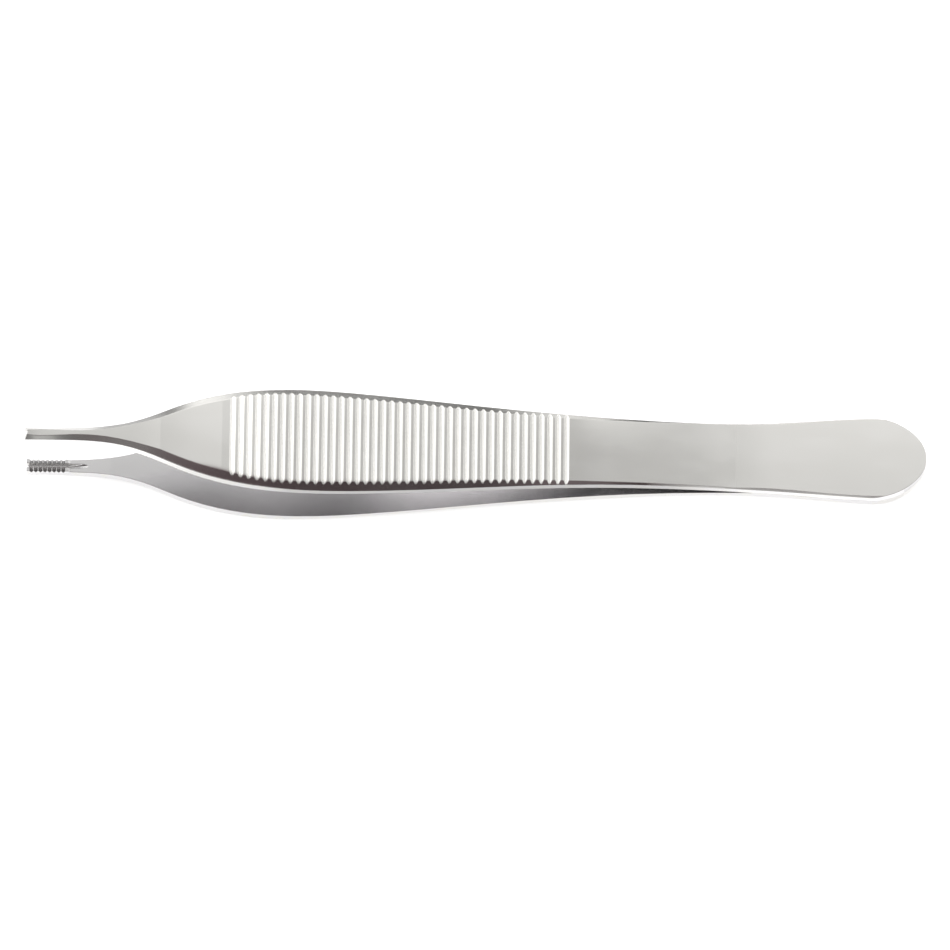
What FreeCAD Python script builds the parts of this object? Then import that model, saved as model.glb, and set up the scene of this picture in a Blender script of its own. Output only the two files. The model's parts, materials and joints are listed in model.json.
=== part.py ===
import FreeCAD, Part
import math
import os
import Sketcher

# Thumb forceps: two spring leaves, welded face to face at the butt.
# Each leaf is a forged and ground blank that runs from a narrow toothed jaw over a flared
# shoulder and a wide grooved grip to a slim spring stretch and a rounded butt.
# Millimetres. A leaf is built straight: X from the tip to the butt, Y across, Z outwards
# from the mid-plane between the leaves. The pair is then laid down on its lower leaf.

SIZES = {
    # Stretches of the leaf, from the tip to the butt
    "jaw_length": 6.0,
    "shank_length": 5.5,
    "flare_length": 5.5,
    "shoulder_length": 5.5,
    "grip_front_length": 5.5,
    "grip_wide_length": 9.5,
    "grip_mid_length": 12.5,
    "grip_rear_length": 14.0,
    "spring_length": 12.0,
    "waist_length": 11.0,
    "weld_length": 10.1,
    "neck_length": 6.9,
    "butt_length": 8.5,
    "butt_round_length": 7.5,
    # Width of the leaf at the end of each stretch
    "jaw_width": 1.78,
    "shank_width": 2.6,
    "flare_width": 5.76,
    "shoulder_width": 10.3,
    "grip_front_width": 13.16,
    "grip_wide_width": 14.74,
    "grip_mid_width": 13.62,
    "grip_rear_width": 11.4,
    "spring_width": 9.92,
    "waist_width": 9.44,
    "weld_width": 9.76,
    "neck_width": 10.6,
    "butt_width": 11.7,
    # Clear distance between the two leaves
    "tip_gap": 8.6,
    "shank_gap": 8.74,
    "flare_gap": 8.72,
    "shoulder_gap": 8.44,
    "grip_front_gap": 8.04,
    "grip_wide_gap": 7.24,
    # Thickness of one leaf
    "jaw_thickness": 1.86,
    "shank_thickness": 1.84,
    "shoulder_thickness": 1.84,
    "grip_front_thickness": 1.78,
    "butt_thickness": 1.14,
    # Ground flats of the outer face: metal left on the forging for them, the ridge at the
    # shoulder, the rise of the shoulder's flat, and the lead of the butt's flat on the weld
    "face_allowance": 0.14,
    "ridge_lead": 1.8,
    "shoulder_rise": 0.05,
    "butt_flat_lead": 2.5,
    # Ground bevels along both outer edges: width across the face, depth down the side
    "jaw_bevel_width": 0.58,
    "jaw_bevel_depth": 0.58,
    "shank_bevel_width": 0.64,
    "shank_bevel_depth": 0.57,
    "flare_bevel_width": 0.86,
    "flare_bevel_depth": 0.62,
    "grip_bevel_width": 1.1,
    "grip_bevel_depth": 0.6,
    "rear_bevel_width": 0.85,
    "rear_bevel_depth": 0.38,
    "spring_bevel_width": 0.45,
    "spring_bevel_depth": 0.16,
    "edge_bevel_width": 0.22,
    "edge_bevel_depth": 0.22,
    # Serrations of the grip: vee grooves with a rounded root and flat lands between them
    "groove_pitch": 1.113,
    "groove_count": 41,
    "groove_first": 27.62,
    "groove_width": 0.7,
    "groove_depth": 0.21,
    "groove_slope": 36.0,
    # Butt end
    "butt_end_radius": 4.4,
    "trim_allowance": 0.02,
    # Nose of the jaw, seen from outside, and the notch that splits it into two prongs
    "nose_length": 0.3,
    "nose_height": 0.7,
    "prong_notch_width": 0.62,
    "prong_notch_root": 0.3,
    "prong_notch_depth": 0.34,
    # Toothed rims and the trough between them
    "tooth_pitch": 0.61,
    "tooth_count": 9,
    "tooth_first": 0.65,
    "tooth_depth": 0.45,
    "tooth_notch_width": 0.52,
    "trough_width": 0.62,
    "trough_depth": 0.9,
    "trough_length": 5.7,
    "trough_runout": 3.0,
    "relief_depth": 0.2,
    "relief_start": 5.55,
    "relief_ramp": 0.3,
    "relief_length": 5.6,
}

STRETCHES = ("jaw", "shank", "flare", "shoulder", "grip_front", "grip_wide", "grip_mid",
             "grip_rear", "spring", "waist", "weld", "neck", "butt", "butt_round")
MARGIN = 5.0     # how far cutting tools reach past the metal
CLEAR = 0.5      # how far the blank runs past the rounded butt before it is trimmed


def make_sheet(doc):
    """The driving sizes, one alias a cell."""
    sheet = doc.addObject("Spreadsheet::Sheet", "Sizes")
    for row, (name, size) in enumerate(SIZES.items(), start=1):
        sheet.set(f"A{row}", name)
        sheet.set(f"B{row}", str(size))
        sheet.setAlias(f"B{row}", name)
    doc.recompute()
    return sheet


def cell(name):
    return f"Sizes.{name}"


def station(stretch):
    """Formula for the distance from the tip to the end of a stretch."""
    last = STRETCHES.index(stretch)
    return "(" + " + ".join(cell(f"{name}_length") for name in STRETCHES[:last + 1]) + ")"


def distance(sheet, stretch):
    """The same distance as a number."""
    last = STRETCHES.index(stretch)
    return sum(sheet.get(f"{name}_length") for name in STRETCHES[:last + 1])


def inner_line(stretch):
    """Height of the inner face on the straight part, which meets the mid-plane at the weld."""
    run = f"({station('weld')} - {station(stretch)})"
    whole = f"({station('weld')} - {station('grip_wide')})"
    return f"{cell('grip_wide_gap')} / 2 * {run} / {whole}"


def flat_start():
    """Where the long flat of the outer face runs into the flat of the butt."""
    return f"({station('weld')} - {cell('butt_flat_lead')})"


def outer_height(place):
    """Height of the long flat of the outer face, which runs from the shoulder to the butt."""
    front = f"({cell('grip_front_gap')} / 2 + {cell('grip_front_thickness')})"
    fall = f"({front} - {cell('butt_thickness')})"
    whole = f"({flat_start()} - {station('grip_front')})"
    return f"({front} - {fall} * ({place} - {station('grip_front')}) / {whole})"


def gap_and_thickness(gap, thickness):
    inner = f"{cell(gap)} / 2"
    return inner, f"{inner} + {cell(thickness)}"


def left_for_grinding(height, bevel):
    """Raises the outer face by the grinding allowance and carries its bevels on up to it."""
    width, depth = cell(f"{bevel}_width"), cell(f"{bevel}_depth")
    extra = cell("face_allowance")
    return (f"({height} + {extra})", f"({width} * (1 + {extra} / {depth}))",
            f"({depth} + {extra})")


def sections():
    """Each cross-section: name, place, width, inner height, outer height, bevel width and depth."""
    jaw = gap_and_thickness("tip_gap", "jaw_thickness")
    shank = gap_and_thickness("shank_gap", "shank_thickness")
    flare = gap_and_thickness("flare_gap", "shank_thickness")
    shoulder_in, shoulder_out = gap_and_thickness("shoulder_gap", "shoulder_thickness")
    grip_front_in, grip_front_out = gap_and_thickness("grip_front_gap", "grip_front_thickness")
    jaw_bevel = (cell("jaw_bevel_width"), cell("jaw_bevel_depth"))
    shank_bevel = (cell("shank_bevel_width"), cell("shank_bevel_depth"))
    flare_bevel = (cell("flare_bevel_width"), cell("flare_bevel_depth"))
    rows = [
        ("Tip", "0", cell("jaw_width"), *jaw, *jaw_bevel),
        ("JawRoot", station("jaw"), cell("jaw_width"), *jaw, *jaw_bevel),
        ("Shank", station("shank"), cell("shank_width"), *shank, *shank_bevel),
        ("Flare", station("flare"), cell("flare_width"), *flare, *flare_bevel),
        ("Shoulder", station("shoulder"), cell("shoulder_width"), shoulder_in,
         *left_for_grinding(shoulder_out, "grip_bevel")),
        ("GripFront", station("grip_front"), cell("grip_front_width"), grip_front_in,
         *left_for_grinding(grip_front_out, "grip_bevel")),
    ]
    for name, stretch, bevel in (("GripWide", "grip_wide", "grip_bevel"),
                                 ("GripMid", "grip_mid", "grip_bevel"),
                                 ("GripRear", "grip_rear", "rear_bevel"),
                                 ("Spring", "spring", "spring_bevel"),
                                 ("Waist", "waist", "edge_bevel")):
        rows.append((name, station(stretch), cell(f"{stretch}_width"), inner_line(stretch),
                     *left_for_grinding(outer_height(station(stretch)), bevel)))
    butt_top = left_for_grinding(cell("butt_thickness"), "edge_bevel")
    for name, stretch in (("Weld", "weld"), ("Neck", "neck"), ("Butt", "butt")):
        rows.append((name, station(stretch), cell(f"{stretch}_width"), inner_line(stretch),
                     *butt_top))
    rows.append(("ButtEnd", f"{station('butt_round')} + {CLEAR}", cell("butt_width"),
                 inner_line("butt_round"), *butt_top))
    return rows


def origin_plane(body, role):
    for feature in body.Origin.OriginFeatures:
        if feature.Role == role:
            return feature
    raise ValueError(role)


def new_sketch(body, name, role, offset="0"):
    """A sketch on one of the body's own planes, moved along the plane's normal."""
    sketch = body.newObject("Sketcher::SketchObject", name)
    sketch.AttachmentSupport = [(origin_plane(body, role), "")]
    sketch.MapMode = "FlatFace"
    sketch.setExpression(".AttachmentOffset.Base.z", offset)
    return sketch


def bind(sketch, kind, refs, formula, start=1.0):
    """Adds one driving constraint and ties it to a formula."""
    index = sketch.addConstraint(Sketcher.Constraint(kind, *refs, start))
    sketch.setExpression(f"Constraints[{index}]", formula)


def bind_point(sketch, geometry, point, x_formula, y_formula, near=(1.0, 1.0)):
    bind(sketch, "DistanceX", (-1, 1, geometry, point), x_formula, near[0])
    bind(sketch, "DistanceY", (-1, 1, geometry, point), y_formula, near[1])


def draw_loop(sketch, count):
    """A closed loop of straight lines; the start of each line is a corner to be placed."""
    corners = [FreeCAD.Vector(math.cos(2 * math.pi * k / count),
                              math.sin(2 * math.pi * k / count), 0) for k in range(count)]
    for k in range(count):
        sketch.addGeometry(Part.LineSegment(corners[k], corners[(k + 1) % count]), False)
    for k in range(count):
        sketch.addConstraint(Sketcher.Constraint("Coincident", k, 2, (k + 1) % count, 1))


def draw_polygon(sketch, corners):
    """A closed loop with each corner placed by two formulas."""
    draw_loop(sketch, len(corners))
    for k, (x_formula, y_formula) in enumerate(corners):
        bind_point(sketch, k, 1, x_formula, y_formula)


def section_sketch(body, name, place, width, inner, outer, bevel_width, bevel_depth):
    """A cross-section: flat inner face, square sides and bevelled outer edges."""
    sketch = new_sketch(body, name, "YZ_Plane", place)
    draw_loop(sketch, 6)
    half = f"{width} / 2"
    bind_point(sketch, 0, 1, half, inner)
    bind_point(sketch, 1, 1, half, f"{outer} - {bevel_depth}")
    bind_point(sketch, 2, 1, f"{half} - {bevel_width}", outer)
    for left, right in ((5, 0), (4, 1), (3, 2)):
        sketch.addConstraint(Sketcher.Constraint("Symmetric", left, 1, right, 1, -2))
    return sketch


def cut_symmetric(body, name, sketch, depth):
    """Removes the sketched shape to an equal depth on both sides of its plane."""
    pocket = body.newObject("PartDesign::Pocket", name)
    pocket.Profile = sketch
    pocket.Type = "Length"
    pocket.Midplane = True
    pocket.setExpression("Length", depth)
    sketch.Visibility = False
    return pocket


def repeat_along(body, name, feature, sketch, span, count):
    """Copies a cut along the sketch's own horizontal axis."""
    pattern = body.newObject("PartDesign::LinearPattern", name)
    pattern.Originals = [feature]
    pattern.Direction = (sketch, ["H_Axis"])
    pattern.setExpression("Length", span)
    pattern.setExpression("Occurrences", count)
    body.Tip = pattern
    return pattern


def loft_blank(body):
    """The forged blank, drawn through all the cross-sections."""
    sketches = [section_sketch(body, *row) for row in sections()]
    blank = body.newObject("PartDesign::AdditiveLoft", "Blank")
    blank.Profile = sketches[0]
    blank.Sections = sketches[1:]
    blank.Ruled = False
    return blank


def grind_weld_face(body):
    """Grinds the blank flat on the mid-plane, where the leaves meet."""
    sketch = new_sketch(body, "WeldFaceOutline", "XY_Plane")
    end = f"{station('butt_round')} + {MARGIN}"
    reach = f"{cell('butt_width')}"
    draw_polygon(sketch, (
        (station("grip_rear"), f"-{reach}"),
        (end, f"-{reach}"),
        (end, reach),
        (station("grip_rear"), reach),
    ))
    pocket = body.newObject("PartDesign::Pocket", "WeldFace")
    pocket.Profile = sketch
    pocket.Type = "Length"
    pocket.setExpression("Length", f"{cell('grip_wide_gap')} + {MARGIN}")
    return pocket


def ridge():
    """Place and height of the ridge where the shoulder's flat meets the long flat."""
    place = f"({station('grip_front')} - {cell('ridge_lead')})"
    return place, outer_height(place)


def grind_outer_face(body):
    """Grinds three flats on the outer face: the shoulder, the long flat and the butt."""
    sketch = new_sketch(body, "OuterProfile", "XZ_Plane")
    place, height = ridge()
    flare_top = f"({cell('flare_gap')} / 2 + {cell('shank_thickness')})"
    rise = f"({flare_top} + {cell('shoulder_rise')} - {height})"
    reach = f"({place} - {station('flare')})"
    end = f"{station('butt_round')} + {MARGIN}"
    draw_polygon(sketch, (
        (place, height),
        (flat_start(), cell("butt_thickness")),
        (end, cell("butt_thickness")),
        (end, f"{flare_top} + {MARGIN}"),
        (station("shank"), f"{flare_top} + {MARGIN}"),
        (station("shank"), f"{height} + {rise} * ({place} - {station('shank')}) / {reach}"),
    ))
    return cut_symmetric(body, "OuterFlats", sketch, f"{cell('grip_wide_width')} + {MARGIN}")


def round_butt(body, sheet):
    """Trims the butt to its rounded end: two side arcs run into a smaller end arc."""
    size = sheet.get
    start = distance(sheet, "butt")
    length = size("butt_round_length")
    half = size("butt_width") / 2 + size("trim_allowance")
    end_radius = size("butt_end_radius")
    run = length - end_radius
    side_radius = (run ** 2 + half ** 2 - end_radius ** 2) / (2 * (half - end_radius))
    turn = math.atan2(run, side_radius - half)
    join = start + side_radius * math.sin(turn)
    far = start + length + MARGIN
    reach = half + MARGIN

    start_formula = station("butt")
    half_formula = f"({cell('butt_width')} / 2 + {cell('trim_allowance')})"
    end_formula = cell("butt_end_radius")
    run_formula = f"({cell('butt_round_length')} - {end_formula})"
    side_formula = (f"(({run_formula} ^ 2 + {half_formula} ^ 2 - {end_formula} ^ 2)"
                    f" / (2 * ({half_formula} - {end_formula})))")
    join_formula = (f"{start_formula} + {run_formula} * {side_formula}"
                    f" / ({side_formula} - {end_formula})")
    far_formula = f"{station('butt_round')} + {MARGIN}"
    reach_formula = f"({half_formula} + {MARGIN})"

    sketch = new_sketch(body, "ButtTrim", "XY_Plane")
    normal = FreeCAD.Vector(0, 0, 1)
    quarter = math.pi / 2
    upper = Part.Circle(FreeCAD.Vector(start, half - side_radius, 0), normal, side_radius)
    end = Part.Circle(FreeCAD.Vector(start + run, 0, 0), normal, end_radius)
    lower = Part.Circle(FreeCAD.Vector(start, side_radius - half, 0), normal, side_radius)
    sketch.addGeometry(Part.ArcOfCircle(upper, quarter - turn, quarter), False)
    sketch.addGeometry(Part.ArcOfCircle(end, turn - quarter, quarter - turn), False)
    sketch.addGeometry(Part.ArcOfCircle(lower, -quarter, turn - quarter), False)
    corners = ((start, half), (start, reach), (far, reach), (far, -reach),
               (start, -reach), (start, -half))
    points = [FreeCAD.Vector(x, y, 0) for x, y in corners]
    for first, second in zip(points, points[1:]):
        sketch.addGeometry(Part.LineSegment(first, second), False)
    loop = (3, 4, 5, 6, 7, 2, 1, 0)
    ends = ((0, 2), *((line, 2) for line in loop[:5]), (2, 2), (1, 2))
    for (before, point), after in zip(ends, loop):
        sketch.addConstraint(Sketcher.Constraint("Coincident", before, point, after, 1))
    formulas = ((start_formula, half_formula), (start_formula, reach_formula),
                (far_formula, reach_formula), (far_formula, f"-{reach_formula}"),
                (start_formula, f"-{reach_formula}"))
    for line, formula, corner in zip(loop, formulas, corners):
        bind_point(sketch, line, 1, *formula, corner)
    bind_point(sketch, 7, 2, start_formula, f"-{half_formula}", corners[-1])
    bind_point(sketch, 0, 3, start_formula, f"{half_formula} - {side_formula}",
               (start, half - side_radius))
    bind_point(sketch, 2, 3, start_formula, f"{side_formula} - {half_formula}",
               (start, side_radius - half))
    bind(sketch, "DistanceX", (-1, 1, 0, 1), join_formula, join)
    bind(sketch, "DistanceX", (-1, 1, 2, 2), join_formula, join)
    bind(sketch, "DistanceX", (-1, 1, 1, 3), f"{start_formula} + {run_formula}", start + run)
    return cut_symmetric(body, "ButtRound", sketch, f"4 * {cell('butt_thickness')} + {MARGIN}")


def grind_nose(body):
    """Slopes the outer end of the jaw down to a thin nose."""
    sketch = new_sketch(body, "NoseSlope", "XZ_Plane")
    top = f"({cell('tip_gap')} / 2 + {cell('jaw_thickness')})"
    slope = f"{cell('nose_height')} / {cell('nose_length')}"
    reach = cell("nose_length")
    draw_polygon(sketch, (
        (f"-{reach}", f"{top} - {cell('nose_height')} - {slope} * {reach}"),
        (f"2 * {reach}", f"{top} + {slope} * {reach}"),
        (f"-{reach}", f"{top} + {slope} * {reach}"),
    ))
    return cut_symmetric(body, "Nose", sketch, f"{cell('jaw_width')} + {MARGIN}")


def split_nose(body):
    """Notches the end of the jaw, in line with the trough, so that it ends in two prongs."""
    sketch = new_sketch(body, "ProngOutline", "XY_Plane")
    depth = cell("prong_notch_depth")
    mouth = f"{cell('prong_notch_width')} / 2"
    root = f"{cell('prong_notch_root')} / 2"
    draw_polygon(sketch, (
        (depth, root),
        (f"-{depth}", f"2 * {mouth} - {root}"),
        (f"-{depth}", f"{root} - 2 * {mouth}"),
        (depth, f"-{root}"),
    ))
    return cut_symmetric(body, "ProngNotch", sketch,
                         f"{cell('tip_gap')} + 2 * {cell('jaw_thickness')} + {MARGIN}")


def relieve_shank(body):
    """Sets the inner face of the shank back, so that the toothed rims stand proud of it."""
    sketch = new_sketch(body, "ReliefOutline", "XZ_Plane")
    face = f"{cell('tip_gap')} / 2"
    start = cell("relief_start")
    deep = f"{start} + {cell('relief_ramp')}"
    end = f"{start} + {cell('relief_length')}"
    draw_polygon(sketch, (
        (start, face),
        (deep, f"{face} + {cell('relief_depth')}"),
        (end, f"{cell('shank_gap')} / 2"),
        (end, f"{face} - {cell('tip_gap')} / 8"),
        (start, f"{face} - {cell('tip_gap')} / 8"),
    ))
    return cut_symmetric(body, "ShankRelief", sketch, f"{cell('shank_width')} + {MARGIN}")


def cut_serrations(body, sheet):
    """Vee grooves with a rounded root, straight across the long flat of the grip."""
    sketch = new_sketch(body, "SerrationProfile", "XZ_Plane")
    first = cell("groove_first")
    top = outer_height(first)
    run = f"({flat_start()} - {first})"
    sketch.setExpression(".AttachmentOffset.Base.x", first)
    sketch.setExpression(".AttachmentOffset.Base.y", top)
    sketch.AttachmentOffset = FreeCAD.Placement(
        sketch.AttachmentOffset.Base, FreeCAD.Rotation(FreeCAD.Vector(0, 0, 1), 1))
    sketch.setExpression(".AttachmentOffset.Rotation.Angle",
                         f"atan(({cell('butt_thickness')} - {top}) / {run})")

    size = sheet.get
    slope = math.radians(size("groove_slope"))
    half = size("groove_width") / 2
    depth = size("groove_depth")
    radius = (half * math.tan(slope) - depth) / (1 / math.cos(slope) - 1)
    centre = radius - depth
    side, low = radius * math.sin(slope), centre - radius * math.cos(slope)
    reach = half + depth / math.tan(slope)
    points = [FreeCAD.Vector(x, y, 0) for x, y in
              ((side, low), (reach, depth), (-reach, depth), (-side, low))]
    for before, after in zip(points, points[1:]):
        sketch.addGeometry(Part.LineSegment(before, after), False)
    circle = Part.Circle(FreeCAD.Vector(0, centre, 0), FreeCAD.Vector(0, 0, 1), radius)
    quarter = math.pi / 2
    sketch.addGeometry(Part.ArcOfCircle(circle, -quarter - slope, slope - quarter), False)
    for before, after, point in ((0, 1, 1), (1, 2, 1), (2, 3, 1)):
        sketch.addConstraint(Sketcher.Constraint("Coincident", before, 2, after, point))
    sketch.addConstraint(Sketcher.Constraint("Coincident", 3, 2, 0, 1))

    angle, deep = cell("groove_slope"), cell("groove_depth")
    half_formula = f"{cell('groove_width')} / 2"
    radius_formula = f"(({half_formula} * tan({angle}) - {deep}) / (1 / cos({angle}) - 1))"
    reach_formula = f"({half_formula} + {deep} / tan({angle}))"
    side_formula = f"({radius_formula} * sin({angle}))"
    low_formula = f"({radius_formula} * (1 - cos({angle})) - {deep})"
    bind_point(sketch, 0, 1, side_formula, low_formula, (side, low))
    bind_point(sketch, 0, 2, reach_formula, deep, (reach, depth))
    bind_point(sketch, 1, 2, f"-{reach_formula}", deep, (-reach, depth))
    bind_point(sketch, 2, 2, f"-{side_formula}", low_formula, (-side, low))
    bind(sketch, "DistanceY", (-1, 1, 3, 3), f"{radius_formula} - {deep}", centre)
    groove = cut_symmetric(body, "Serration", sketch, f"{cell('grip_wide_width')} + {MARGIN}")
    span = f"{cell('groove_pitch')} * ({cell('groove_count')} - 1)"
    return repeat_along(body, "Serrations", groove, sketch, span, cell("groove_count"))


def trough_section(body, name, place, depth, sheet):
    """A round-bottomed slot profile that opens at the inner face of the jaw."""
    size = sheet.get
    sketch = new_sketch(body, name, "YZ_Plane", place)
    half = size("trough_width") / 2
    face = size("tip_gap") / 2
    low = face - size("trough_depth")
    high = face + size("trough_depth") - half
    points = [FreeCAD.Vector(x, y, 0) for x, y in
              ((half, high), (half, low), (-half, low), (-half, high))]
    for first, second in zip(points, points[1:]):
        sketch.addGeometry(Part.LineSegment(first, second), False)
    bottom = Part.Circle(FreeCAD.Vector(0, high, 0), FreeCAD.Vector(0, 0, 1), half)
    sketch.addGeometry(Part.ArcOfCircle(bottom, 0, math.pi), False)
    tie = Sketcher.Constraint
    sketch.addConstraint([
        tie("Coincident", 0, 2, 1, 1),
        tie("Coincident", 1, 2, 2, 1),
        tie("Coincident", 3, 1, 0, 1),
        tie("Coincident", 3, 2, 2, 2),
        tie("Symmetric", 0, 1, 2, 2, -2),
        tie("Symmetric", 0, 2, 1, 2, -2),
    ])
    half_formula = f"{cell('trough_width')} / 2"
    face_formula = f"{cell('tip_gap')} / 2"
    bind_point(sketch, 0, 1, half_formula, f"{face_formula} + {depth} - {half_formula}",
               (half, high))
    bind_point(sketch, 0, 2, half_formula, f"{face_formula} - {cell('trough_depth')}",
               (half, low))
    bind(sketch, "DistanceY", (-1, 1, 3, 3), f"{face_formula} + {depth} - {half_formula}", high)
    return sketch


def cut_trough(body, sheet):
    """The lengthwise trough between the toothed rims, and the cutter's run-out behind it."""
    full = trough_section(body, "TroughMouth", f"-{cell('nose_length')}",
                          cell("trough_depth"), sheet)
    back = trough_section(body, "TroughBack", cell("trough_length"), cell("trough_depth"), sheet)
    gone = trough_section(body, "TroughRunout",
                          f"{cell('trough_length')} + {cell('trough_runout')}", "0", sheet)
    trough = body.newObject("PartDesign::SubtractiveLoft", "Trough")
    trough.Profile = full
    trough.Sections = [back]
    trough.Ruled = True
    runout = body.newObject("PartDesign::SubtractiveLoft", "Runout")
    runout.Profile = back
    runout.Sections = [gone]
    runout.Ruled = True
    return runout


def cut_teeth(body, shift):
    """V notches across both rims. The two jaws are half a pitch apart, so they interlock."""
    sketch = new_sketch(body, "ToothNotch", "XZ_Plane")
    face = f"{cell('tip_gap')} / 2"
    place = f"{cell('tooth_first')} - {shift} * {cell('tooth_pitch')}"
    half = f"{cell('tooth_notch_width')} / 2"
    draw_polygon(sketch, (
        (place, f"{face} + {cell('tooth_depth')}"),
        (f"{place} - 2 * {half}", f"{face} - {cell('tooth_depth')}"),
        (f"{place} + 2 * {half}", f"{face} - {cell('tooth_depth')}"),
    ))
    notch = cut_symmetric(body, "Notch", sketch, f"{cell('jaw_width')} + {MARGIN}")
    count = f"{cell('tooth_count')} - 1 + 2 * {shift}"
    span = f"{cell('tooth_pitch')} * ({count} - 1)"
    return repeat_along(body, "Teeth", notch, sketch, span, count)


def make_leaf(doc, sheet, label, tooth_shift):
    """One whole leaf, in its straight frame."""
    body = doc.addObject("PartDesign::Body", label)
    body.Label = label
    loft_blank(body)
    doc.recompute()
    grind_weld_face(body)
    grind_outer_face(body)
    round_butt(body, sheet)
    grind_nose(body)
    split_nose(body)
    relieve_shank(body)
    cut_serrations(body, sheet)
    cut_trough(body, sheet)
    cut_teeth(body, tooth_shift)
    doc.recompute()
    return body


def rest_angle(sheet):
    """The slope of the table under the pair, which touches the ridge and the butt end."""
    size = sheet.get
    front = size("grip_front_gap") / 2 + size("grip_front_thickness")
    fall = front - size("butt_thickness")
    long_flat = (distance(sheet, "weld") - size("butt_flat_lead")
                 - distance(sheet, "grip_front"))
    height = fall * (1 + size("ridge_lead") / long_flat)
    reach = distance(sheet, "butt_round") - distance(sheet, "grip_front") + size("ridge_lead")
    return math.degrees(math.atan2(height, reach))


def lay_down(sheet, leaves):
    """Turns the lower leaf over, tilts the pair on to its lower leaf and centres it."""
    lengthwise = FreeCAD.Vector(1, 0, 0)
    crosswise = FreeCAD.Vector(0, 1, 0)
    tilt = FreeCAD.Rotation(crosswise, rest_angle(sheet))
    middle = FreeCAD.Vector(-distance(sheet, "butt_round") / 2, 0, 0)
    to_middle = FreeCAD.Placement(middle, FreeCAD.Rotation())
    for leaf, turn in zip(leaves, (0, 180)):
        over = FreeCAD.Placement(FreeCAD.Vector(0, 0, 0), FreeCAD.Rotation(lengthwise, turn))
        tilted = FreeCAD.Placement(FreeCAD.Vector(0, 0, 0), tilt)
        leaf.Placement = tilted.multiply(to_middle).multiply(over)
    low = min(leaf.Shape.optimalBoundingBox(False, False).ZMin for leaf in leaves)
    for leaf in leaves:
        leaf.Placement.Base.z -= low


def check(doc, leaves):
    for feature in doc.Objects:
        if {"Invalid", "Error"} & set(feature.State):
            raise RuntimeError(f"{feature.Label}: {feature.State}")
    for leaf in leaves:
        shape = leaf.Shape
        if shape.isNull() or not shape.isValid() or len(shape.Solids) != 1:
            raise RuntimeError(f"{leaf.Label} is not one valid solid")


def main():
    doc = FreeCAD.newDocument("ThumbForceps")
    sheet = make_sheet(doc)
    upper = make_leaf(doc, sheet, "upper_leaf", 0.5)
    lower = make_leaf(doc, sheet, "lower_leaf", 0)
    leaves = (upper, lower)
    lay_down(sheet, leaves)
    doc.recompute()
    check(doc, leaves)
    os.makedirs("parts", exist_ok=True)
    for leaf in leaves:
        box = leaf.Shape.BoundBox
        print(f"{leaf.Label}: {leaf.Shape.Volume:.1f} mm3, z {box.ZMin:.3f} to {box.ZMax:.3f}")
        leaf.Shape.exportStep(f"parts/{leaf.Label}.step")


main()
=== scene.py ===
import json
import math
from types import SimpleNamespace

import bpy
from mathutils import Matrix, Vector

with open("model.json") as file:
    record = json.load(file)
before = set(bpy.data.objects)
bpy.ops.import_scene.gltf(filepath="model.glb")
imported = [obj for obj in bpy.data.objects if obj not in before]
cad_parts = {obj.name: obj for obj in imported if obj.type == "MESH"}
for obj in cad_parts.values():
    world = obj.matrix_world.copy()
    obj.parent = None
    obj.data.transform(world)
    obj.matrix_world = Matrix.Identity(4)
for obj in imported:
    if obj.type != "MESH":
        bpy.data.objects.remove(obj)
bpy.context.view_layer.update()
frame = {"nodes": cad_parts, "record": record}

MM = 0.001

# The camera sees the forceps as the photograph does.
FRAME_PIXELS = 950          # the photograph's frame is square
PIXEL = 0.13326 * MM        # one pixel of the photograph, on the forceps
VIEW_LEAN = 25.0            # degrees between the line of sight and the leaf's normal
ROLL = 0.68                 # degrees that the forceps slope down to the right in the frame
CENTRE_AHEAD = 0.11 * MM    # the frame's centre, from the middle of the forceps to the jaws
CENTRE_BELOW = 2.44 * MM    # and below the line of the weld, as the frame shows it
DISTANCE = 2.0              # metres from the camera to the forceps
SENSOR_WIDTH = 36.0         # millimetres
CLIP = (0.05, 20.0)         # metres between which the camera sees

# How the edges and the ground faces are rounded, in the shading alone. A fade has the two
# places along the forceps that it runs between, and then the value at each.
EDGE_RADIUS = 0.12 * MM     # how far the polish has eased the edges
SHOULDER_EASING = 0.2 * MM  # and how much further on the shoulder's bevels
LAND_END_RADIUS = (-6 * MM, 6 * MM, 0.95 * MM, 0.5 * MM)    # a fade, at the grip's near edge
CROWN_RADIUS = 60 * MM      # how the ground faces swell across their width
SWELL_TO_GRIP = (-36 * MM, -28 * MM, 0.5, 0.3)      # a fade of how strongly they do
SWELL_PAST_GRIP = (11 * MM, 16 * MM, 0.0, 0.7)      # another, which is added to it
SWELL_TO_BUTT = (16 * MM, 30 * MM, 1.0, 0.35)       # and one that scales both
GRAIN_BUMP = 0.05
MARKS_BUMP = 0.04
FINE_DEPTH = 0.01 * MM      # how deep the grain and the marks go

# Places along the forceps, from the middle towards the butt.
FIELD_MIDDLE = -10.0 * MM   # the middle of the grooved field
FIELD_ENDS = (24 * MM, 25 * MM)     # from there, where the grooves' painted highlight begins to end, and ends
BUTT_CREASE = 34.3 * MM     # where the spring stretch turns into the butt
CREASE_REACH = 6 * MM       # how far from it the crease's painted light and shade reach
CREASE_EDGE = 1 * MM        # how far before it the butt's faces may begin
BLUNT_FROM = (15 * MM, 30 * MM)     # where the bevels begin to be blunt, and are wholly so

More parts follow.
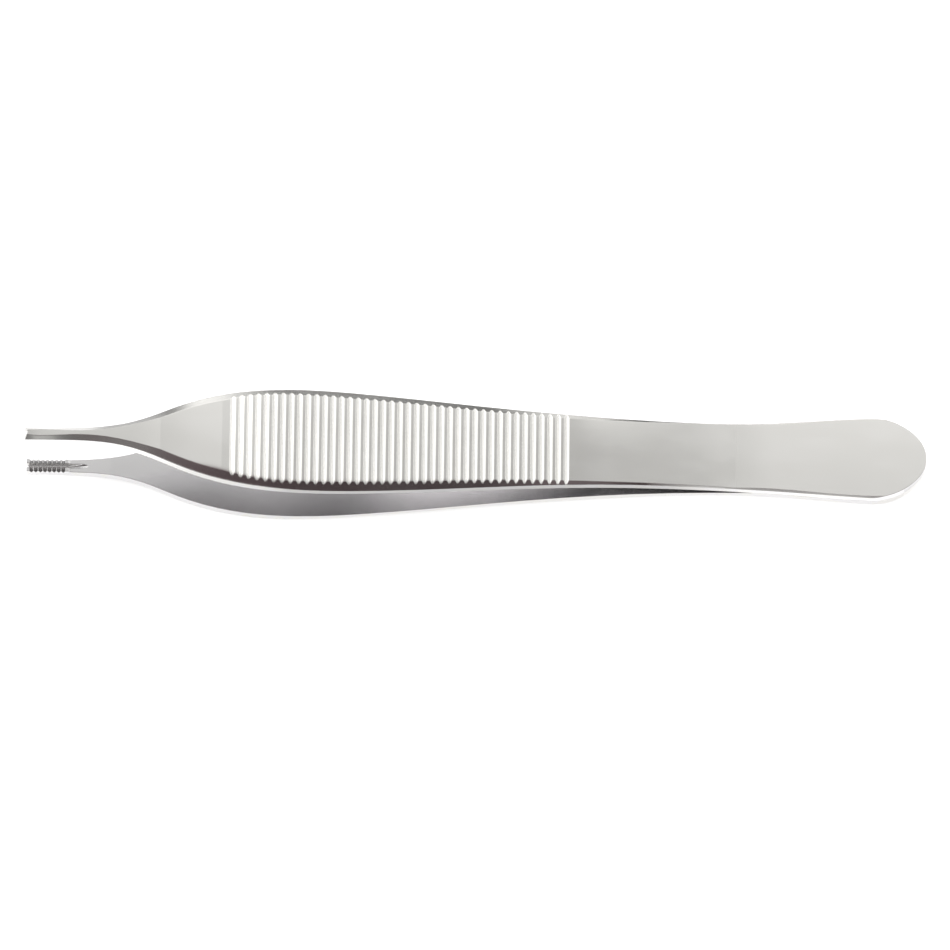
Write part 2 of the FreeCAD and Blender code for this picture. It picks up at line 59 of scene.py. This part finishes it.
# Faces are told apart by how far their normals lean, with 1 for all the way. Each share
# begins or ends between the two values.
NOT_SIDEWAYS = (0.2, 0.25)
SHOULDER_BEVELS = (0.3, 0.35)
FAR_BEVELS = (0.3, 0.45)
SIDES = (0.8, 0.9)
TOOTH_FLANKS = (0.5, 0.7)
GROOVE_SLANT = (0.03, 0.06)         # beyond the lean of the grip
GROOVE_FLATNESS = (0.6, 0.65)
GROUND_FLATNESS = (0.9, 0.98)
BLUNT_FLATNESS = ((0.5, 0.55), (0.8, 0.85))     # it begins, and ends
GRIP_LEAN = 0.07            # how far the grip's outer face leans to the butt

# Stretches in millimetres from the middle: each begins, is whole, begins to fade, and ends.
FLARE = (-52, -48, -41, -37)
SHOULDER = (-45, -39, -28, -22)
GRIP = (-38, -34, 8, 14)
SPRING = (-6, 3, 26, 33)

# Painted light and shade along the forceps: how much brighter or darker each face's colour is
# made, in millimetres from the middle, and tone.
TONE_REACH = 65
OUTER_PAINTED_LIGHT = [(-61, 0.85), (-45, 0.89), (-40, 1.02), (-35, 1.12), (-29, 1.1), (-26, 0.9),
               (14, 0.9), (18, 1.0), (30, 1.04), (60, 1.12)]
INNER_PAINTED_LIGHT = [(-61, 0.86), (-42, 0.79), (-35, 0.9), (-28, 1.02), (-24, 0.97), (-20, 0.91),
               (-16, 1.0), (-11, 1.32), (-4, 1.32), (2, 1.31), (8, 1.14), (15, 1.0), (60, 1.0)]
SIDE_PAINTED_LIGHT = [(-61, 1.3), (-44, 1.3), (-38, 0.95), (-28, 0.93), (-24, 0.6), (26, 0.61),
              (36, 1.3), (60, 1.3)]
LOWER_SIDE_PAINTED_LIGHT = 1.1       # painted light on the lower leaf's sides
GROOVE_PAINTED_HIGHLIGHT = 1.16          # painted highlight on the walls of the grip's grooves
CREASE_PAINTED_LIGHT = 0.09          # painted light up before the crease at the butt, and painted shade down past it
RIM_SHADE = 0.5             # how much darker the far bevels are at the flare and the spring

# Each colour of steel where the polish is duller, and where it is brighter.
OUTER_STEEL = ((0.705, 0.698, 0.68, 1), (0.73, 0.724, 0.708, 1))
INNER_STEEL = ((0.7, 0.694, 0.7, 1), (0.725, 0.719, 0.725, 1))

# Painted shade at the roots of the jaws' teeth.
ROOT_SHADE_COLOUR = (0.09, 0.075, 0.07, 1)
ROOT_SHADE_ROUGHNESS = 0.2     # added to the polish
ROOT_SHADE_ACROSS = (-0.25 * MM, 0.25 * MM, 0.5, 0.12)     # a fade from the near rim to the far one
TEETH_END = -53.5 * MM      # where the teeth end, from the middle of the forceps
JAW_OUTSIDE = (4.75 * MM, 4.85 * MM)    # from the middle plane, where it ends under the outside

# Noises: cells to the metre along, across and upwards, levels of detail, and roughness.
GRAIN = ((500, 9000, 9000), 3.0, 0.6)
CLOUDS = ((110, 260, 260), 2.0, 0.5)
MARKS = ((900, 2600, 2600), 4.0, 0.65)
CLOUD_RANGE = (0.3, 0.7)    # from dull to bright
CLOUD_ROUGHNESS = (0.225, 0.255)
MARKS_ROUGHNESS = (0.35, 0.75, -0.005, 0.015)   # the marks' range, and what each end adds
BLUNT_ROUGHNESS = 0.32      # added on the butt's blunted bevels

# The floor glows out to the first distance, and less from the second on: metres and light.
FLOOR_GLOW = (0.105, 0.3, 0.72, 0.3)
FLOOR_GREY = (0.62, 0.62, 0.62, 1)
FLOOR_HALF = 3.0            # metres
LAMP_WIDTH = 1.6            # metres
LAMP_POWER = 8.0            # watts
LAMP_PLACE = (0, 0.1, 1.2)  # metres

# The studio around the forceps, as fades of light over the parts of a line of sight: far is
# away from the viewer, side is towards the butt, and high is upwards. Each fade has the two
# parts that it runs between, and then the light at each.
OVERHEAD = (0.12, 0.42, 0.0, 1.0)           # high, from the wall to the ceiling
CEILING = (-0.38, 0.75, 0.05, 1.32)         # far
WALL_LIGHT = 0.06
FRONT = (-0.45, -0.85, 0.0, 0.16)           # far
FRONT_PANEL = (-0.4, -0.5, 0.0, 0.07)       # far
FRONT_PANEL_SIDE = (-0.04, -0.3, 0.0, 1.0)  # side
LOW_FRONT = (-0.1, -0.4, 0.0, 0.5)          # far
LOW_FRONT_HIGH = (0.16, 0.32, 1.0, 0.0)     # high
BEHIND = (0.0, 0.35, 0.0, 1.0)              # far
LEFT_PANEL = (-0.36, -0.1, 0.7, 0.0)        # side
LEFT_PANEL_HIGH = (0.12, 0.32, 0.1, 1.0)    # high
RIGHT_PANEL = (0.34, 0.66, 0.0, 0.74)       # side

# Round patches of the studio: their direction, and the degrees at which they are whole and end.
DIP = ((0.28, 0.42, 0.86), 2, 13)
DIP_DEPTH = 0.46
STRIP = ((-0.13, 0.985, 0.12), 1, 7)
STRIP_LIGHT = 1.7
BLUSH = ((0.0, -0.5, 0.866), 8, 38)
STUDIO_WHITE = (1.0, 0.995, 0.98, 1)
STUDIO_BLUSH = (1.0, 0.72, 0.78, 1)


def add(tree, kind, **values):
    """A node with its settings, and with its inputs set, or linked where a socket is given.

    An input goes by its name with underscores for spaces, or by an underscore and its number.
    """
    node = tree.nodes.new(kind)
    for key, value in values.pop("settings", {}).items():
        setattr(node, key, value)
    for key, value in values.items():
        socket = node.inputs[int(key[1:])] if key[0] == "_" else node.inputs[key.replace("_", " ")]
        if isinstance(value, bpy.types.NodeSocket):
            tree.links.new(value, socket)
        else:
            socket.default_value = value
    return node


def math_node(tree, operation, a, b=0.0):
    return add(tree, "ShaderNodeMath", settings={"operation": operation}, _0=a, _1=b).outputs[0]


def vector_node(tree, operation, a, **values):
    return add(tree, "ShaderNodeVectorMath", settings={"operation": operation}, _0=a, **values)


def absolute(tree, value):
    return math_node(tree, "ABSOLUTE", value)


def difference(tree, a, b):
    return math_node(tree, "SUBTRACT", a, b)


def product(tree, *factors):
    whole = factors[0]
    for factor in factors[1:]:
        whole = math_node(tree, "MULTIPLY", whole, factor)
    return whole


def total(tree, *terms):
    whole = terms[0]
    for term in terms[1:]:
        whole = math_node(tree, "ADD", whole, term)
    return whole


def inverse(tree, share):
    return difference(tree, 1.0, share)


def dot(tree, a, b):
    return vector_node(tree, "DOT_PRODUCT", a, _1=b).outputs["Value"]


def parts(tree, vector):
    return add(tree, "ShaderNodeSeparateXYZ", _0=vector).outputs


def mapped(tree, value, low, high, to_low, to_high, kind="SMOOTHSTEP"):
    return add(tree, "ShaderNodeMapRange", settings={"interpolation_type": kind}, Value=value,
               From_Min=low, From_Max=high, To_Min=to_low, To_Max=to_high).outputs[0]


def rising(tree, value, low, high):
    return mapped(tree, value, low, high, 0.0, 1.0)


def falling(tree, value, low, high):
    return mapped(tree, value, low, high, 1.0, 0.0)


def stretch(tree, along, begins, whole, fades, ends):
    """A share that is 1 over a stretch of the forceps, given in millimetres."""
    return product(tree, rising(tree, along, begins * MM, whole * MM),
                   falling(tree, along, fades * MM, ends * MM))


def noise(tree, place, cells, detail, roughness):
    spread = add(tree, "ShaderNodeMapping", Vector=place, Scale=cells).outputs[0]
    return add(tree, "ShaderNodeTexNoise", Vector=spread, Scale=1.0, Detail=detail,
               Roughness=roughness).outputs[0]


def mixed(tree, share, first, second):
    """A colour mix, whose colours are the node's inputs 6 and 7 and its output 2."""
    return add(tree, "ShaderNodeMix", settings={"data_type": "RGBA"}, _0=share, _6=first,
               _7=second).outputs[2]


def tones(tree, along, stops):
    """A tone that changes smoothly along the forceps, through the stops."""
    ramp = add(tree, "ShaderNodeValToRGB", _0=mapped(
        tree, along, -TONE_REACH * MM, TONE_REACH * MM, 0.0, 1.0, "LINEAR"))
    band = ramp.color_ramp
    band.interpolation = "B_SPLINE"
    while len(band.elements) < len(stops):
        band.elements.new(0.5)
    # The ramp holds half of each tone, which keeps it below 1.
    for element, (place, tone) in zip(band.elements, stops):
        element.position = (place + TONE_REACH) / (2 * TONE_REACH)
        element.color = (tone / 2, tone / 2, tone / 2, 1)
    return math_node(tree, "MULTIPLY", ramp.outputs[0], 2.0)


def bevel(tree, radius):
    return add(tree, "ShaderNodeBevel", settings={"samples": 6}, Radius=radius).outputs[0]


def bump(tree, strength, distance, height, normal):
    return add(tree, "ShaderNodeBump", Strength=strength, Distance=distance, Height=height,
               Normal=normal).outputs[0]


def new_material(name):
    mat = bpy.data.materials.new(name)
    mat.use_nodes = True
    mat.node_tree.nodes.clear()
    return mat


def leaf_axes():
    """The forceps' own axes: along to the butt, across, outwards, and their middle point."""
    mount = next(m for m in frame["record"]["mounts"] if m["name"] == "jaws")
    out = Vector(mount["axis"]).normalized()
    across = Vector((0, 1, 0))
    along = across.cross(out).normalized()
    place = Vector(mount["pos_m"])
    middle = place - along * (place.x / along.x)
    return along, across, out, middle


def steel_surface(tree):
    """Where a point of the steel lies, and which way its face looks.

    level is its height over the middle plane between the leaves. endwise, sideways and flatness
    say how far its face looks along, across and up or down, and lean how far towards the butt.
    """
    direction, _, out, middle = leaf_axes()
    at = SimpleNamespace()
    at.place = add(tree, "ShaderNodeTexCoord").outputs["Object"]
    at.along, at.across, _ = parts(tree, at.place)
    facing = add(tree, "ShaderNodeNewGeometry").outputs["True Normal"]
    face_x, at.face_y, face_z = parts(tree, facing)
    at.endwise = absolute(tree, face_x)
    at.sideways = absolute(tree, at.face_y)
    at.flatness = absolute(tree, face_z)
    at.upright = falling(tree, at.sideways, *NOT_SIDEWAYS)
    at.lean = dot(tree, facing, direction)
    at.level = dot(tree, vector_node(tree, "SUBTRACT", at.place, _1=middle).outputs[0], out)
    at.inner = math_node(tree, "LESS_THAN", product(tree, at.level, face_z), 0.0)
    at.outer = inverse(tree, at.inner)
    return at


def root_shade_share(tree, at):
    """Painted shade on the flanks of the jaws' teeth, most of it on the near rim."""
    jaw = math_node(tree, "LESS_THAN", at.along, TEETH_END)
    within = falling(tree, absolute(tree, at.level), *JAW_OUTSIDE)
    return product(tree, jaw, within, rising(tree, at.endwise, *TOOTH_FLANKS),
                   mapped(tree, at.across, *ROOT_SHADE_ACROSS))


def painted_crease_light(tree, at):
    """Painted light up to the crease at the butt, and painted shade past it."""
    leaning = math_node(tree, "GREATER_THAN", at.lean, GRIP_LEAN / 2)
    near_butt = math_node(tree, "GREATER_THAN", at.along, BUTT_CREASE - CREASE_EDGE)
    before = mapped(tree, at.along, BUTT_CREASE - CREASE_REACH, BUTT_CREASE, 0.0, CREASE_PAINTED_LIGHT)
    past = mapped(tree, at.along, BUTT_CREASE, BUTT_CREASE + CREASE_REACH, -CREASE_PAINTED_LIGHT, 0.0)
    return total(tree, 1.0, product(tree, leaning, before),
                 product(tree, inverse(tree, leaning), past, near_butt))


def painted_groove_highlight(tree, at):
    """A painted highlight: the grooves' walls, which lean to the butt or to the jaws, are painted
    paler.
    """
    slant = absolute(tree, difference(tree, at.lean, GRIP_LEAN))
    from_middle = absolute(tree, difference(tree, at.along, FIELD_MIDDLE))
    wall = product(tree, rising(tree, slant, *GROOVE_SLANT), at.upright,
                   rising(tree, at.flatness, *GROOVE_FLATNESS),
                   falling(tree, from_middle, *FIELD_ENDS))
    return mapped(tree, wall, 0.0, 1.0, 1.0, GROOVE_PAINTED_HIGHLIGHT)


def painted_reflection_scale(tree, at):
    """The painted light and shade that scale the steel's colour: along its outer, inner and side
    faces, and painted shade on the far bevels.
    """
    outer = product(tree, at.outer, painted_crease_light(tree, at), painted_groove_highlight(tree, at),
                    tones(tree, at.along, OUTER_PAINTED_LIGHT))
    face = total(tree, product(tree, at.inner, tones(tree, at.along, INNER_PAINTED_LIGHT)), outer)
    upper_leaf = math_node(tree, "GREATER_THAN", at.level, 0.0)
    side = total(tree, product(tree, upper_leaf, tones(tree, at.along, SIDE_PAINTED_LIGHT)),
                 product(tree, inverse(tree, upper_leaf), LOWER_SIDE_PAINTED_LIGHT))
    at_side = rising(tree, at.sideways, *SIDES)
    far_bevel = product(tree, rising(tree, at.face_y, *FAR_BEVELS), total(
        tree, stretch(tree, at.along, *FLARE), stretch(tree, at.along, *SPRING)))
    return product(tree, total(tree, product(tree, inverse(tree, at_side), face),
                               product(tree, at_side, side)),
                   inverse(tree, product(tree, far_bevel, RIM_SHADE)))


def blunt_share(tree, at):
    """The bevels of the butt, which are blunted."""
    begins, ends = BLUNT_FLATNESS
    return product(tree, rising(tree, at.flatness, *begins), falling(tree, at.flatness, *ends),
                   rising(tree, at.along, *BLUNT_FROM))


def eased_normal(tree, at):
    """The normal with its edges eased, and with the near ends of the grip's lands turned down."""
    shoulder_bevel = product(tree, rising(tree, at.sideways, *SHOULDER_BEVELS),
                             stretch(tree, at.along, *SHOULDER))
    tight = bevel(tree, total(tree, EDGE_RADIUS, product(tree, shoulder_bevel, SHOULDER_EASING)))
    wide = bevel(tree, mapped(tree, at.along, *LAND_END_RADIUS))
    x, y, z = parts(tree, tight)
    wide_y = parts(tree, wide)[1]
    land = product(tree, at.outer, at.upright, stretch(tree, at.along, *GRIP))
    turn = product(tree, difference(tree, math_node(tree, "MINIMUM", y, wide_y), y), land)
    turned = add(tree, "ShaderNodeCombineXYZ", _0=x, _1=total(tree, y, turn), _2=z).outputs[0]
    return vector_node(tree, "NORMALIZE", turned).outputs[0]


def crowned_normal(tree, at, normal):
    """The ground faces swell across: least on the grip, most past it, and less at the butt."""
    swell = product(tree, rising(tree, at.flatness, *GROUND_FLATNESS),
                    total(tree, mapped(tree, at.along, *SWELL_TO_GRIP),
                          mapped(tree, at.along, *SWELL_PAST_GRIP)),
                    mapped(tree, at.along, *SWELL_TO_BUTT))
    fall = product(tree, at.across, at.across, -0.5 / CROWN_RADIUS)
    return bump(tree, swell, 1.0, fall, normal)


def satin_steel():
    """Satin stainless steel: fine lengthwise grain, faint handling marks and cloudy gloss, with
    painted light and shade in its colour.
    """
    mat = new_material("satin_steel")
    tree = mat.node_tree
    at = steel_surface(tree)
    grain = noise(tree, at.place, *GRAIN)
    clouds = noise(tree, at.place, *CLOUDS)
    marks = noise(tree, at.place, *MARKS)
    root_shade = root_shade_share(tree, at)

    dull, bright = (mixed(tree, at.inner, outer, inner)
                    for outer, inner in zip(OUTER_STEEL, INNER_STEEL))
    steel_colour = mixed(tree, rising(tree, clouds, *CLOUD_RANGE), dull, bright)
    # The colour is scaled by painted reflections and painted shade along the faces.
    painted_steel_colour = vector_node(tree, "SCALE", steel_colour, Scale=painted_reflection_scale(tree, at)).outputs[0]
    # Painted shade darkens the roots of the jaws' teeth.
    colour = mixed(tree, root_shade, painted_steel_colour, ROOT_SHADE_COLOUR)
    roughness = total(tree, mapped(tree, clouds, *CLOUD_RANGE, *CLOUD_ROUGHNESS),
                      mapped(tree, marks, *MARKS_ROUGHNESS),
                      product(tree, root_shade, ROOT_SHADE_ROUGHNESS),
                      product(tree, blunt_share(tree, at), BLUNT_ROUGHNESS))

    normal = crowned_normal(tree, at, eased_normal(tree, at))
    normal = bump(tree, GRAIN_BUMP, FINE_DEPTH, grain, normal)
    normal = bump(tree, MARKS_BUMP, FINE_DEPTH, marks, normal)
    shader = add(tree, "ShaderNodeBsdfPrincipled", Metallic=1.0, Roughness=roughness,
                 Base_Color=colour, Normal=normal)
    add(tree, "ShaderNodeOutputMaterial", Surface=shader.outputs[0])
    return mat


def pale_floor():
    """A pale sheet that glows where the forceps lie, as on a light table."""
    mat = new_material("pale_floor")
    tree = mat.node_tree
    place = add(tree, "ShaderNodeTexCoord").outputs["Object"]
    reach = vector_node(tree, "LENGTH", place).outputs["Value"]
    shader = add(tree, "ShaderNodeBsdfPrincipled", Roughness=0.9, Base_Color=FLOOR_GREY,
                 Specular_IOR_Level=0.0, Emission_Color=(1.0, 1.0, 1.0, 1),
                 Emission_Strength=mapped(tree, reach, *FLOOR_GLOW))
    add(tree, "ShaderNodeOutputMaterial", Surface=shader.outputs[0])
    return mat


def add_floor():
    half = FLOOR_HALF
    mesh = bpy.data.meshes.new("floor")
    mesh.from_pydata([(-half, -half, 0), (half, -half, 0), (half, half, 0), (-half, half, 0)],
                     [], [(0, 1, 2, 3)])
    floor = bpy.data.objects.new("floor", mesh)
    floor.data.materials.append(pale_floor())
    bpy.context.scene.collection.objects.link(floor)


def add_floor_light():
    """A wide overhead light that whitens the floor and leaves no glint on the steel."""
    data = bpy.data.lights.new("overhead", "AREA")
    data.shape = "DISK"
    data.size = LAMP_WIDTH
    data.energy = LAMP_POWER
    light = bpy.data.objects.new("overhead", data)
    light.location = LAMP_PLACE
    light.visible_glossy = False
    bpy.context.scene.collection.objects.link(light)


def add_studio():
    """A soft studio: a pale ceiling that darkens towards the viewer, and bright side panels."""
    world = bpy.data.worlds.new("studio")
    world.use_nodes = True
    tree = world.node_tree
    tree.nodes.clear()
    sight = add(tree, "ShaderNodeTexCoord").outputs["Generated"]
    side, far, high = parts(tree, sight)

    def patch(direction, whole, ends):
        nearness = dot(tree, sight, Vector(direction).normalized())
        return rising(tree, nearness, math.cos(math.radians(ends)),
                      math.cos(math.radians(whole)))

    overhead = mapped(tree, high, *OVERHEAD)
    ceiling = product(tree, overhead, mapped(tree, far, *CEILING, "LINEAR"),
                      inverse(tree, product(tree, patch(*DIP), DIP_DEPTH)))
    wall = product(tree, inverse(tree, overhead), WALL_LIGHT)
    front = total(tree, mapped(tree, far, *FRONT), product(
        tree, mapped(tree, far, *FRONT_PANEL), mapped(tree, side, *FRONT_PANEL_SIDE)))
    low_front = product(tree, mapped(tree, far, *LOW_FRONT), mapped(tree, high, *LOW_FRONT_HIGH))
    behind = mapped(tree, far, *BEHIND)
    left = product(tree, mapped(tree, side, *LEFT_PANEL), behind,
                   mapped(tree, high, *LEFT_PANEL_HIGH))
    right = product(tree, mapped(tree, side, *RIGHT_PANEL), behind)
    strip = product(tree, patch(*STRIP), STRIP_LIGHT)
    light = total(tree, ceiling, wall, front, low_front, left, right, strip)
    tint = mixed(tree, patch(*BLUSH), STUDIO_WHITE, STUDIO_BLUSH)
    sky = add(tree, "ShaderNodeBackground", Color=tint, Strength=light)
    add(tree, "ShaderNodeOutputWorld", Surface=sky.outputs[0])
    bpy.context.scene.world = world


def add_camera():
    """The photograph's camera, which leans over the near side of the forceps."""
    along, across, out, middle = leaf_axes()
    lean = math.radians(VIEW_LEAN)
    back = out * math.cos(lean) - across * math.sin(lean)
    up = across * math.cos(lean) + out * math.sin(lean)
    roll = math.radians(ROLL)
    right_axis = along * math.cos(roll) + up * math.sin(roll)
    up_axis = up * math.cos(roll) - along * math.sin(roll)
    target = middle - along * CENTRE_AHEAD - up * CENTRE_BELOW
    data = bpy.data.cameras.new("camera")
    data.sensor_width = SENSOR_WIDTH
    data.lens = SENSOR_WIDTH * DISTANCE / (FRAME_PIXELS * PIXEL)
    data.clip_start, data.clip_end = CLIP
    camera = bpy.data.objects.new("camera", data)
    bpy.context.scene.collection.objects.link(camera)
    turn = Matrix((right_axis, up_axis, back)).transposed().to_4x4()
    camera.matrix_world = Matrix.Translation(target + back * DISTANCE) @ turn
    bpy.context.scene.camera = camera


steel = satin_steel()
for node in frame["nodes"].values():
    for slot in node.material_slots:
        slot.material = steel

add_floor()
add_floor_light()
add_studio()
add_camera()
bpy.context.scene.view_settings.view_transform = "Standard"
